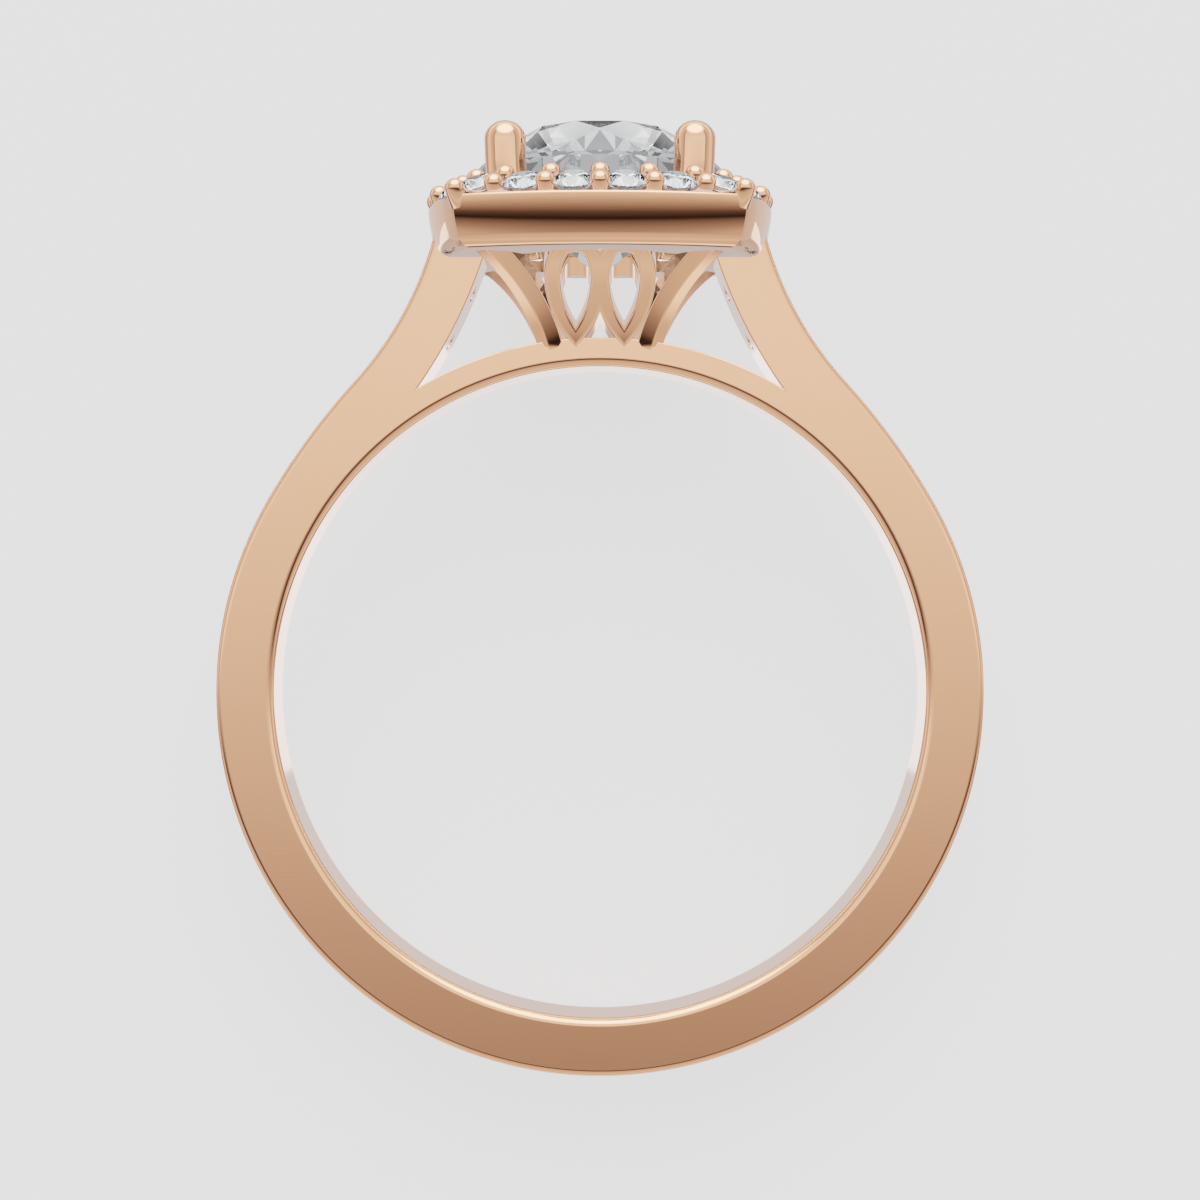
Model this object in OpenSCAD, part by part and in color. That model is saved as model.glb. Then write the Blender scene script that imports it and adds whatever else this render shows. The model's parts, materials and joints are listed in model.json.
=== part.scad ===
/* [Band] */
// Diameter of the finger hole
finger_d = 17.3; // [16:0.1:19]
// Radial thickness of the band
band_t = 1.54; // [1.3:0.02:1.8]
// Width of the band along the finger
band_w = 2.5; // [2.3:0.1:2.8]
// Rounding of the edges of the finger hole
bore_edge = 0.22; // [0.1:0.02:0.3]
// Radial thickness of the bridge under the head
bridge_t = 0.75; // [0.6:0.05:0.9]

/* [Shoulders] */
// Angle up round the band at which a shoulder leaves it
leave_angle = 30; // [29:0.5:32]
// Radius of the hollow outer face of a shoulder
sweep_r = 9.32; // [9.2:0.02:9.4]
// Distance from the middle to the centre of that hollow
sweep_x = 13.42; // [13.35:0.01:13.5]
// Height of the centre of that hollow above the finger hole's axis
sweep_z = 14.51; // [14.45:0.01:14.6]
// Radius of a shoulder's inner face, beside the window
window_r = 13.45; // [13.3:0.05:13.6]
// Distance from the middle to the centre of the inner face
window_x = 15.85; // [15.7:0.05:16]
// Height of the centre of the inner face
window_z = 15.77; // [15.6:0.05:15.9]

/* [Halo] */
// Half width of the halo at the middle of a side
halo_half = 4.6; // [4.5:0.02:4.7]
// Radius of a bulged side
halo_side_r = 6.6; // [6.4:0.05:7]
// Height of the halo's flat underside above the finger hole's axis
halo_under_z = 11.52; // [11.4:0.02:11.6]
// Height of the halo's top outer edge
halo_edge_z = 12.86; // [12.8:0.02:13]
// Slope of the halo's top, up towards the centre stone
halo_slope = 25; // [20:1:28]
// Draft of the halo's wall, smaller below
halo_draft = 0.13; // [0.05:0.01:0.2]
// Rounding under the halo's wall
halo_round = 0.5; // [0.3:0.05:0.55]
// Radius of the opening at the underside
opening_low_r = 2.85; // [2.7:0.05:2.95]
// Radius of the opening at the top
opening_top_r = 3.3; // [3.2:0.05:3.4]

/* [Halo stones and beads] */
// Diameter of a halo stone
halo_stone_d = 1.16; // [1:0.02:1.2]
// Distance of the stones' row in from the outer edge
stone_inset = 0.57; // [0.55:0.01:0.62]
// Height of a stone's girdle above the halo's top
stone_lift = 0.06; // [0:0.01:0.08]
// Pitch of stones and beads along a side, as an angle of its arc
stone_pitch = 12.6; // [12.4:0.1:12.8]
// Diameter of a bead
bead_d = 0.52; // [0.44:0.02:0.56]
// Distance of the outer row of beads in from the outer edge
outer_bead_inset = 0.27; // [0.25:0.01:0.32]
// Distance of the inner row of beads in from the outer edge
inner_bead_inset = 0.9; // [0.86:0.02:0.96]
// Height of a bead above the halo's top
bead_h = 0.42; // [0.4:0.01:0.5]
// Distance of a corner bead from the middle, both across and along
corner_bead = 3.68; // [3.62:0.01:3.72]

/* [Centre stone] */
// Diameter of the centre stone
stone_d = 6.5; // [6.3:0.05:6.6]
// Height of the table above the finger hole's axis
table_z = 15.09; // [15:0.01:15.2]

/* [Claws] */
// Diameter of a claw
claw_d = 1.08; // [0.9:0.02:1.2]
// Distance of a claw's axis from the centre stone's axis
claw_reach = 3.42; // [3.35:0.01:3.5]
// Height of the top of a claw
claw_top_z = 14.95; // [14.8:0.01:15.1]
// Outward lean of a claw
claw_lean = 2; // [0:0.5:3]

/* [Gallery] */
// Thickness of a claw's curved support, across and along
support_t = 0.72; // [0.6:0.02:0.8]
// Radius of the support's hollow outer faces
support_r = 4.9; // [4.8:0.05:5]
// Spread of the supports' feet to the sides
foot_x = 1.63; // [1.58:0.01:1.68]
// Spread of the supports' feet to the front and back
foot_y = 1.33; // [1.3:0.01:1.36]
// Half width of a petal
petal_half = 0.83; // [0.78:0.01:0.86]
// Distance of a petal's middle from the ring's middle
petal_x = 0.64; // [0.6:0.01:0.7]
// Lean of the petals, outwards at the top
petal_lean = 34; // [30:1:37]
// Thickness of a petal
petal_t = 0.75; // [0.6:0.05:0.85]
// Half width of the hole in a petal
petal_hole_half = 0.43; // [0.38:0.01:0.46]

/* [Shoulder stones] */
// Diameter of a shoulder stone
shoulder_stone_d = 1; // [0.9:0.02:1.04]
// Diameter of the drilled hole behind a shoulder stone
azure_d = 0.5; // [0.4:0.05:0.55]

/* [Hidden] */
$fn = 64;
finger_r = finger_d / 2;
band_r = finger_r + band_t;
bridge_r = finger_r + bridge_t;
half_w = band_w / 2;
bead_r = bead_d / 2;
claw_r = claw_d / 2;
stone_r = stone_d / 2;
halo_stone_r = halo_stone_d / 2;
shoulder_stone_r = shoulder_stone_d / 2;
// Clearance between a stone and the metal round it
stone_gap = 0.02;
// How far joined forms run into each other
overlap = 0.3;
rose_gold = [0.85, 0.64, 0.5];
diamond = [0.9, 0.94, 1];

// Shoulder outline: a bulge tangent to the band, then the hollow sweep up to the halo
leave_at = 180 - leave_angle;
leave_dir = [cos(leave_at), sin(leave_at)];
leave_low = (bridge_r - overlap) * leave_dir;
leave_high = (band_r + 1) * leave_dir;
sweep_c = [-sweep_x, sweep_z];
window_c = [-window_x, window_z];
sum_r = band_r + sweep_r;
bulge_shift = (sweep_c * sweep_c - sum_r * sum_r) / (2 * (sum_r - sweep_c * leave_dir));
bulge_r = band_r + bulge_shift;
bulge_c = -bulge_shift * leave_dir;
turn_dir = (sweep_c - bulge_c) / norm(sweep_c - bulge_c);
turn_point = bulge_c + bulge_r * turn_dir;
shoulder_top_z = 12.1;
shoulder_depth = 1.3;
shoulder_end_x = 2.65;
shoulder_foot = 8.45 * [-0.6, 0.8];

// Halo: each side is an arc about a centre beyond the middle
halo_shift = halo_side_r - halo_half;
halo_low_r = halo_side_r - halo_draft;
halo_rise = tan(halo_slope);
slope_run = 2.6;
corner_slope = atan(halo_rise * cos(45 - stone_pitch * 2.5));

// Round brilliant proportions, as shares of the radius
table_share = 0.513;
star_share = 0.714;
lower_share = 0.22;
crown_share = 0.317;
girdle_share = 0.031;
pavilion_share = 0.868;
facet_step = 22.5;
star_drop = (star_share * cos(facet_step) - table_share) * crown_share / (1 - table_share);
girdle_z = table_z - stone_r * (crown_share + girdle_share / 2);

// Petals: two side arcs down to a point, and two tighter ones up to the top
petal_front_y = 1.35;
petal_sink = 0.29;
petal_tip_z = bridge_r - petal_sink;
petal_low = 2.18;
petal_high = 2;
petal_top = 3.15;
hole_base = 0.36;
hole_low = 1.65;
hole_high = 1.05;
hole_top = 0.84;
hole_round = 0.56;

// Supports: their feet sink into the bridge and their tops into the halo
support_foot_sink = 0.25;
support_top_sink = 0.1;
support_foot_z = bridge_r - support_foot_sink;
support_top_z = halo_under_z + support_top_sink;
side_lean = 17;
front_lean = 20;

// Places of the halo stones: four along each side, then one at each corner
stone_row_r = halo_side_r - stone_inset;
stone_row_z = halo_edge_z + stone_inset * halo_rise;
corner_stone = sqrt((stone_row_r * stone_row_r - halo_shift * halo_shift / 2) / 2) - halo_shift / 2;
side_steps = [-1.5, -0.5, 0.5, 1.5];
bead_steps = [-2, -1, 0, 1, 2];

// Places of the shoulder stones, as angles round the hollow's centre
shoulder_angles = [-21, -28.7];
azure_start = 0.2;
azure_depth = 2.5;

// The dome on a claw or a bead, as a share of its radius, leaves a narrow rim
claw_dome_share = 1.15;

// A bead is a post with a domed head, and its widest edge is where the two meet
bead_dome_share = 1.08;
bead_dome = bead_r * bead_dome_share;
bead_post = 0.18;
bead_edge_h = bead_h - bead_dome + sqrt(bead_dome * bead_dome - bead_r * bead_r);

// The ring lies on its side: the tilt sets the band's lower rim and a middle bead down together
rest_y = halo_half - outer_bead_inset + bead_edge_h * sin(halo_slope) + bead_r * cos(halo_slope);
rest_z = halo_edge_z + outer_bead_inset * halo_rise + bead_edge_h * cos(halo_slope)
    - bead_r * sin(halo_slope);
rest_tilt = atan2(rest_y - half_w, rest_z + band_r);

function ring_points(r, z, first, step, count) =
    [for (i = [0:count - 1]) [r * cos(first + i * step), r * sin(first + i * step), z]];

// Stone with its girdle's middle at z = 0 and its table upwards
module brilliant(r) {
    half_girdle = r * girdle_share / 2;
    table_r = r * table_share;
    star_r = r * star_share;
    lower_r = r * lower_share;
    table_h = half_girdle + r * crown_share;
    star_h = table_h - r * star_drop;
    culet = -half_girdle - r * pavilion_share;
    lower_h = culet + lower_r * cos(facet_step) * pavilion_share;
    points = concat(
        ring_points(table_r, table_h, facet_step, 45, 8),
        ring_points(star_r, star_h, 0, 45, 8),
        ring_points(r, half_girdle, 0, facet_step, 16),
        ring_points(r, -half_girdle, 0, facet_step, 16),
        ring_points(lower_r, lower_h, 0, 45, 8),
        [[0, 0, culet]]
    );
    star = 8;
    upper = 16;
    under = 32;
    lower = 48;
    tip = 56;
    faces = concat(
        [[for (k = [7:-1:0]) k]],
        [for (k = [0:7]) [(k + 7) % 8, k, star + k]],
        [for (k = [0:7]) [k, star + (k + 1) % 8, upper + 2 * k + 1]],
        [for (k = [0:7]) [k, upper + 2 * k + 1, star + k]],
        [for (k = [0:7]) [star + k, upper + 2 * k + 1, upper + 2 * k]],
        [for (k = [0:7]) [star + k, upper + 2 * k, upper + (2 * k + 15) % 16]],
        [for (k = [0:15]) [upper + k, upper + (k + 1) % 16, under + (k + 1) % 16]],
        [for (k = [0:15]) [upper + k, under + (k + 1) % 16, under + k]],
        [for (k = [0:7]) [lower + k, under + 2 * k, under + 2 * k + 1]],
        [for (k = [0:7]) [lower + k, under + (2 * k + 15) % 16, under + 2 * k]],
        [for (k = [0:7]) [tip, lower + k, under + 2 * k + 1]],
        [for (k = [0:7]) [tip, under + 2 * k + 1, lower + (k + 1) % 8]]
    );
    polyhedron(points, faces);
}

// Outline of the space under a stone's girdle, with its clearance
function space_below(r) = [
    [0, -r * (girdle_share / 2 + pavilion_share) - stone_gap],
    [r * lower_share + stone_gap, -r * (girdle_share / 2 + pavilion_share - lower_share * 0.8) - stone_gap],
    [r + stone_gap, -r * girdle_share / 2 - stone_gap]
];

// Cut that holds a flush stone, open above it
module seat(r) {
    rotate_extrude()
        polygon(concat(space_below(r), [[r + stone_gap, r], [0, r]]));
}

// Cut that follows a whole stone, under the heads that hold it
module stone_space(r) {
    high = r * girdle_share / 2 + stone_gap;
    rotate_extrude()
        polygon(concat(space_below(r), [
            [r + stone_gap, high],
            [r * star_share + stone_gap, high + r * (crown_share - star_drop)],
            [r * table_share + stone_gap, high + r * crown_share],
            [0, high + r * crown_share]
        ]));
}

// Lies the worn ring down: the finger axis points up, the head leans a little off the surface
module lie_down() {
    rotate([rest_tilt - 90, 0, 0]) children();
}

module across_band() {
    rotate([90, 0, 0])
        linear_extrude(band_w, center = true)
            children();
}

module shoulder_outline() {
    deep_turn = turn_point - shoulder_depth * turn_dir;
    intersection() {
        translate(bulge_c) circle(bulge_r);
        polygon([leave_low, leave_high, turn_point + turn_dir, deep_turn]);
    }
    difference() {
        intersection() {
            translate(window_c) circle(window_r);
            polygon([
                deep_turn,
                turn_point + turn_dir,
                [-halo_half, shoulder_top_z],
                [-shoulder_end_x, shoulder_top_z],
                [-shoulder_end_x, bridge_r],
                shoulder_foot
            ]);
        }
        translate(sweep_c) circle(sweep_r);
    }
}

module shank() {
    difference() {
        across_band()
            union() {
                difference() {
                    circle(band_r);
                    polygon([
                        leave_low,
                        leave_high,
                        [leave_high.x, 2 * band_r],
                        [-leave_high.x, 2 * band_r],
                        [-leave_high.x, leave_high.y],
                        [-leave_low.x, leave_low.y]
                    ]);
                }
                circle(bridge_r);
                shoulder_outline();
                mirror([1, 0, 0]) shoulder_outline();
            }
        rotate([90, 0, 0]) finger_hole();
    }
}

module finger_hole() {
    edge = finger_r + bore_edge;
    straight = half_w - bore_edge;
    rotate_extrude()
        difference() {
            translate([0, -band_w]) square([edge, 2 * band_w]);
            for (side = [-1, 1])
                translate([edge, side * straight]) circle(bore_edge);
            translate([finger_r, -straight]) square([2 * bore_edge, 2 * straight]);
        }
}

module halo_side() {
    inner = halo_side_r - slope_run;
    top = halo_edge_z + slope_run * halo_rise;
    rotate_extrude()
        union() {
            polygon([
                [0, halo_under_z],
                [halo_low_r - halo_round, halo_under_z],
                [halo_low_r - halo_round, halo_under_z + halo_round],
                [halo_low_r, halo_under_z + halo_round],
                [halo_side_r, halo_edge_z],
                [inner, top],
                [0, top]
            ]);
            intersection() {
                translate([halo_low_r - halo_round, halo_under_z + halo_round])
                    circle(halo_round);
                translate([halo_low_r - halo_round, halo_under_z])
                    square([halo_round, halo_round]);
            }
        }
}

module halo() {
    intersection_for(turn = [0, 90, 180, 270])
        rotate(turn)
            translate([0, halo_shift, 0])
                halo_side();
}

module halo_opening() {
    below = 0.5;
    above = 4.34;
    slope = (opening_top_r - opening_low_r) / (halo_edge_z - halo_under_z + below);
    translate([0, 0, halo_under_z - below])
        cylinder(
            h = below + above,
            r1 = opening_low_r - below * slope,
            r2 = opening_low_r + above * slope
        );
}

module bead(length) {
    rotate_extrude()
        intersection() {
            translate([0, bead_h - bead_dome]) circle(bead_dome);
            translate([0, bead_h - 2 * bead_dome]) square([bead_r, 2 * bead_dome]);
        }
    translate([0, 0, -length]) cylinder(h = length + bead_h - bead_dome, r = bead_r);
}

module on_side(inset, step) {
    translate([0, halo_shift, 0])
        rotate(step * stone_pitch)
            translate([0, -halo_side_r + inset, halo_edge_z + inset * halo_rise])
                rotate([halo_slope, 0, 0])
                    children();
}

module on_corner(reach, height) {
    rotate(45)
        translate([0, -reach * sqrt(2), height])
            rotate([corner_slope, 0, 0])
                children();
}

// Places 0 to 3 run along a side, and place 4 is at its corner
module halo_stone_place(place) {
    if (place < 4)
        on_side(stone_inset, side_steps[place])
            translate([0, 0, stone_lift]) children();
    else
        on_corner(corner_stone, stone_row_z)
            translate([0, 0, stone_lift]) children();
}

module beads() {
    for (turn = [0, 90, 180, 270])
        rotate(turn) {
            for (step = bead_steps) {
                on_side(outer_bead_inset, step) bead(bead_post);
                on_side(inner_bead_inset, step) bead(bead_post);
            }
            on_corner(corner_bead, halo_edge_z) bead(bead_post);
        }
}

module claws() {
    dome = claw_r * claw_dome_share;
    foot = halo_under_z + overlap;
    below = 4;
    for (turn = [45, 135, 225, 315])
        rotate(turn)
            translate([claw_reach, 0, halo_edge_z])
                rotate([0, claw_lean, 0])
                    intersection() {
                        translate([0, 0, foot - halo_edge_z])
                            cylinder(h = claw_top_z - foot, r = claw_r);
                        translate([0, 0, claw_top_z - halo_edge_z - dome])
                            union() {
                                sphere(dome);
                                translate([0, 0, -below]) cylinder(h = below, r = 2 * dome);
                            }
                    }
}

// Bent strip that flares outwards as it rises, from its foot's outer edge
module flare(foot, lean) {
    centre = [foot + support_r * cos(lean), support_foot_z - support_r * sin(lean)];
    intersection() {
        translate([0, support_foot_z]) square([centre.x, support_top_z - support_foot_z]);
        difference() {
            translate(centre) circle(support_r + support_t);
            translate(centre) circle(support_r);
        }
    }
}

module claw_support() {
    intersection() {
        rotate([90, 0, 0])
            linear_extrude(halo_half)
                flare(foot_x, side_lean);
        rotate([90, 0, -90])
            linear_extrude(2 * halo_half, center = true)
                flare(foot_y, front_lean);
    }
}

module claw_supports() {
    for (turn = [0, 1], side = [0, 1])
        mirror([turn, 0, 0]) mirror([0, side, 0]) claw_support();
}

// Two arcs that meet in a point at [0, length], from a given half width
module ogive(half, length) {
    r = (half * half + length * length) / (2 * half);
    intersection() {
        translate([r - half, 0]) circle(r);
        translate([half - r, 0]) circle(r);
        translate([-half, 0]) square([2 * half, length]);
    }
}

module petal_outline() {
    intersection() {
        translate([0, petal_low]) {
            mirror([0, 1]) ogive(petal_half, petal_low);
            ogive(petal_half, petal_high);
        }
        translate([-petal_half, 0]) square([2 * petal_half, petal_top]);
    }
}

module petal_hole() {
    translate([0, hole_base + hole_low]) {
        mirror([0, 1]) ogive(petal_hole_half, hole_low);
        intersection() {
            ogive(petal_hole_half, hole_high);
            translate([0, hole_top - hole_round]) circle(hole_round);
        }
    }
}

module petals() {
    for (turn = [0, 180])
        rotate(turn)
            translate([0, -petal_front_y, petal_tip_z])
                rotate([90 + petal_lean, 0, 0])
                    translate([0, 0, -petal_t])
                        linear_extrude(petal_t)
                            difference() {
                                for (side = [-1, 1])
                                    translate([side * petal_x, 0]) petal_outline();
                                for (side = [-1, 1])
                                    translate([side * petal_x, 0]) petal_hole();
                            }
}

module on_shoulder(side, step) {
    flush = shoulder_stone_r * (crown_share + girdle_share / 2);
    mirror([side > 0 ? 1 : 0, 0, 0])
        translate([-sweep_x, 0, sweep_z])
            rotate([0, -shoulder_angles[step], 0])
                translate([sweep_r + flush, 0, 0])
                    rotate([0, -90, 0])
                        children();
}

module halo_seats() {
    for (turn = [0, 90, 180, 270])
        rotate(turn)
            for (place = [0:4])
                halo_stone_place(place) stone_space(halo_stone_r);
}

module shoulder_seats() {
    for (side = [-1, 1])
        for (step = [0, 1])
            on_shoulder(side, step) {
                seat(shoulder_stone_r);
                translate([0, 0, -azure_depth]) cylinder(h = azure_depth - azure_start, r = azure_d / 2);
            }
}

module mounting() {
    color(rose_gold)
        lie_down()
            difference() {
                union() {
                    difference() {
                        union() {
                            shank();
                            halo();
                        }
                        halo_opening();
                    }
                    claw_supports();
                    petals();
                    claws();
                    beads();
                }
                translate([0, 0, girdle_z]) stone_space(stone_r);
                halo_seats();
                shoulder_seats();
            }
}

module centre_stone() {
    color(diamond)
        lie_down()
            translate([0, 0, girdle_z])
                brilliant(stone_r);
}

// Stones 1 to 4 lie along a side and the fifth at its corner, then the next side follows
module halo_stone(number) {
    color(diamond)
        lie_down()
            rotate(90 * floor((number - 1) / 5))
                halo_stone_place((number - 1) % 5)
                    brilliant(halo_stone_r);
}

module shoulder_stone(number) {
    color(diamond)
        lie_down()
            on_shoulder(number < 3 ? -1 : 1, (number - 1) % 2)
                brilliant(shoulder_stone_r);
}

mounting();
centre_stone();
for (number = [1:20])
    halo_stone(number);
for (number = [1:4])
    shoulder_stone(number);
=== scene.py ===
import json
import math

import bmesh
import bpy
import numpy as np
from mathutils import Matrix, Vector
from mathutils.geometry import tessellate_polygon


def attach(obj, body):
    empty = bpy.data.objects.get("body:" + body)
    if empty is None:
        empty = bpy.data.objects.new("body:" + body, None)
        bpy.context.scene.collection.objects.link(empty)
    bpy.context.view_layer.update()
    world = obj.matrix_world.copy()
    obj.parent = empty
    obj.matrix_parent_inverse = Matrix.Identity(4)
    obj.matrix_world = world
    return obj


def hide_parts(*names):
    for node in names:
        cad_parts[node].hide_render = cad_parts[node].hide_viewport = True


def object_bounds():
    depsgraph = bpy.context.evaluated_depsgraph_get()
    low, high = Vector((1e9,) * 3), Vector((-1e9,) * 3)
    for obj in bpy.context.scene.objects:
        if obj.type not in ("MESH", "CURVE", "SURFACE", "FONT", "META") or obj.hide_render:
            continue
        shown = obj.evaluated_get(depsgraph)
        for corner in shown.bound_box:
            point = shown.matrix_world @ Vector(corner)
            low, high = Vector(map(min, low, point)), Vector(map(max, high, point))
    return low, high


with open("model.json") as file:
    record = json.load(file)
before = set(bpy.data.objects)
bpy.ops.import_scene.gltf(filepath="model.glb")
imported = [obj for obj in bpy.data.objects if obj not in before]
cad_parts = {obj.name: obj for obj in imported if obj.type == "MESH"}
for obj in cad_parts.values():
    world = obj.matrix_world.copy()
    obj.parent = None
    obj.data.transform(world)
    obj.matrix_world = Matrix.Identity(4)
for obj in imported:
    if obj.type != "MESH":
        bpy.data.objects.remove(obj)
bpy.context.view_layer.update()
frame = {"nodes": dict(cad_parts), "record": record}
print("frame loaded:", len(frame["nodes"]), "CAD nodes")

# Worn frame, in millimetres: X across the ring, Y along the finger, Z to the head.
# The ring lies on its side, so this frame is turned into the row frame with the finger hole's axis.
# Sizes below are in millimetres in this frame, and angles in degrees, unless a note says otherwise.
mm = 0.001
fingerAxis = Vector(frame["record"]["mounts"][0]["axis"])
acrossAxis = Vector((1, 0, 0))
awayAxis = -fingerAxis
headAxis = acrossAxis.cross(awayAxis)
turned = np.array([acrossAxis, awayAxis, headAxis])


def rowPoint(x, y, z):
    return Vector(np.array([x, y, z]) @ turned * mm)


camera = {
    "distance": 80.7,  # from the ring's middle plane, along the finger
    "height": 2.44,  # above the finger hole's axis, towards the head
    "lens": 90,
    "sensor": 36,
    "clipStart": 0.001,  # metres
    "clipEnd": 10,
}
cameraData = bpy.data.cameras.new("camera")
cameraData.lens = camera["lens"]
cameraData.sensor_width = camera["sensor"]
cameraData.clip_start = camera["clipStart"]
cameraData.clip_end = camera["clipEnd"]
cameraObject = bpy.data.objects.new("camera", cameraData)
bpy.context.collection.objects.link(cameraObject)
cameraSide = Matrix((acrossAxis, headAxis, fingerAxis)).transposed().to_4x4()
cameraObject.matrix_world = Matrix.Translation(rowPoint(0, -camera["distance"], camera["height"])) @ cameraSide
bpy.context.scene.camera = cameraObject
print("camera placed")


# Small maths that every piece shares

closeBy = 1e-6  # points nearer than this are one point


def direction(degrees):
    return np.array([math.cos(math.radians(degrees)), math.sin(math.radians(degrees))])


def unit(vectors):
    vectors = np.asarray(vectors, float)
    return vectors / np.linalg.norm(vectors, axis=-1, keepdims=True)


def arc(centre, radius, start, end, step, hollow=False):
    # Points of an arc from one angle to another, with the normals that point out of the metal
    ways = np.array([direction(a) for a in np.linspace(start, end, max(2, int(abs(end - start) / step) + 1))])
    return np.asarray(centre) + radius * ways, -ways if hollow else ways


def line(start, end, normal):
    return np.array([start, end], float), np.array([unit(normal)] * 2)


def angleOf(vector):
    return math.degrees(math.atan2(vector[1], vector[0]))


def crossing(centreA, radiusA, centreB, radiusB, side):
    # One of the two points where two circles cross, on the left or right of the way from A to B
    centreA, centreB = np.asarray(centreA, float), np.asarray(centreB, float)
    gap = np.linalg.norm(centreB - centreA)
    along = (gap**2 + radiusA**2 - radiusB**2) / (2 * gap)
    out = math.sqrt(max(radiusA**2 - along**2, 0))
    way = (centreB - centreA) / gap
    return centreA + along * way + side * out * np.array([-way[1], way[0]])


def mirrored(segment):
    points, normals = segment
    flip = np.array([-1, 1])
    return points[::-1] * flip, normals[::-1] * flip


# Mesh making: a piece is a list of patches, each a grid of points with exact normals,
# and a list of flat faces. Every corner keeps its normal, so polished flats stay flat.

weldStep = 1e-5
normalStep = 0.01  # faces whose unit normals part by more than this meet in a sharp edge


def gridPatch(points, normals):
    return np.asarray(points, float), unit(normals)


def flatFace(loops, normal):
    loops = [[Vector(p) for p in loop] for loop in loops]
    return np.array(sum(loops, [])), tessellate_polygon(loops), np.array(normal, float)


def meshOf(name, patches, flats=(), inwards=False):
    points, faces, normals = [], [], []
    total = 0
    for grid, gridNormals in patches:
        rows, columns = grid.shape[:2]
        for i in range(rows - 1):
            for j in range(columns - 1):
                corners = [(i, j), (i + 1, j), (i + 1, j + 1), (i, j + 1)]
                faces.append([total + a * columns + b for a, b in corners])
                normals.append([gridNormals[a, b] for a, b in corners])
        points.append(grid.reshape(-1, 3))
        total += rows * columns
    for corners, triangles, normal in flats:
        for triangle in triangles:
            faces.append([total + k for k in triangle])
            normals.append([normal] * 3)
        points.append(corners)
        total += len(corners)
    points = np.concatenate(points)
    _, first, index = np.unique(np.round(points / weldStep).astype(np.int64), axis=0,
                                return_index=True, return_inverse=True)
    points = points[first]
    index = index.reshape(-1)
    keptFaces, keptNormals = [], []
    for face, faceNormals in zip(faces, normals):
        face = [int(index[k]) for k in face]
        pairs = [(v, n) for k, (v, n) in enumerate(zip(face, faceNormals)) if v != face[k - 1]]
        if len(pairs) < 3 or len({v for v, _ in pairs}) < len(pairs):
            continue
        corners = points[[v for v, _ in pairs]]
        facing = np.cross(corners[1] - corners[0], corners[2] - corners[0])
        if len(corners) == 4:
            facing = facing + np.cross(corners[2] - corners[0], corners[3] - corners[0])
        if np.dot(facing, sum(n for _, n in pairs)) < 0:
            pairs.reverse()
        keptFaces.append([v for v, _ in pairs])
        keptNormals.extend(n for _, n in pairs)
    mesh = bpy.data.meshes.new(name)
    mesh.from_pydata((points @ turned * mm).tolist(), [], keptFaces)
    mesh.polygons.foreach_set("use_smooth", [True] * len(mesh.polygons))
    setNormals(mesh, (-1 if inwards else 1) * np.array(keptNormals) @ turned)
    return mesh


def numbersOf(items, field, width=1, kind=float):
    found = np.zeros(len(items) * width, kind)
    items.foreach_get(field, found)
    return found.reshape(-1, width) if width > 1 else found


def spotsOf(mesh):
    # The mesh's points in the worn frame
    return numbersOf(mesh.vertices, "co", 3) @ turned.T / mm


def moveSpots(mesh, spots):
    mesh.vertices.foreach_set("co", (spots @ turned * mm).ravel())
    mesh.update()


def setNormals(mesh, normals):
    old = mesh.attributes.get("custom_normal")
    if old:
        mesh.attributes.remove(old)
    layer = mesh.attributes.new("custom_normal", "FLOAT_VECTOR", "CORNER")
    layer.data.foreach_set("vector", np.asarray(normals, np.float32).ravel())


def keepNormals(mesh):
    # Writes the smooth normals of a mesh down, so that they outlast a cut
    setNormals(mesh, numbersOf(mesh.corner_normals, "vector", 3))


def objectOf(mesh, name=None):
    made = bpy.data.objects.new(name or mesh.name, mesh)
    bpy.context.collection.objects.link(made)
    return made


def evaluatedMesh(made):
    graph = bpy.context.evaluated_depsgraph_get()
    return bpy.data.meshes.new_from_object(made.evaluated_get(graph), depsgraph=graph)


def cutFrom(mesh, cutters):
    # Cuts each cutter out of the mesh, one after another
    base, tools = objectOf(mesh), [objectOf(cutter) for cutter in cutters]
    for tool in tools:
        modifier = base.modifiers.new("cut", "BOOLEAN")
        modifier.operation = "DIFFERENCE"
        modifier.solver = "EXACT"
        modifier.object = tool
    result = evaluatedMesh(base)
    result.name = mesh.name + "Cut"
    for used in [base] + tools:
        bpy.data.objects.remove(used)
    return result


def markEdges(mesh):
    # Marks an edge sharp where the normals of its two faces part, because Cycles otherwise gives a shared
    # point the normal of one face only
    normals = numbersOf(mesh.corner_normals, "vector", 3)
    points, edges = (numbersOf(mesh.loops, field, kind=np.int64) for field in ("vertex_index", "edge_index"))
    following = np.arange(len(mesh.loops)) + 1
    for face in mesh.polygons:
        following[face.loop_start + face.loop_total - 1] = face.loop_start
    ends = np.tile(edges, 2) * len(mesh.vertices) + np.concatenate([points, points[following]])
    found = np.concatenate([normals, normals[following]])
    order = np.argsort(ends, kind="stable")
    ends, found = ends[order], found[order]
    parted = (ends[1:] == ends[:-1]) & (np.linalg.norm(found[1:] - found[:-1], axis=1) > normalStep)
    sharp = np.zeros(len(mesh.edges), bool)
    sharp[ends[1:][parted] // len(mesh.vertices)] = True
    layer = mesh.attributes.get("sharp_edge") or mesh.attributes.new("sharp_edge", "BOOLEAN", "EDGE")
    layer.data.foreach_set("value", sharp)


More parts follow.
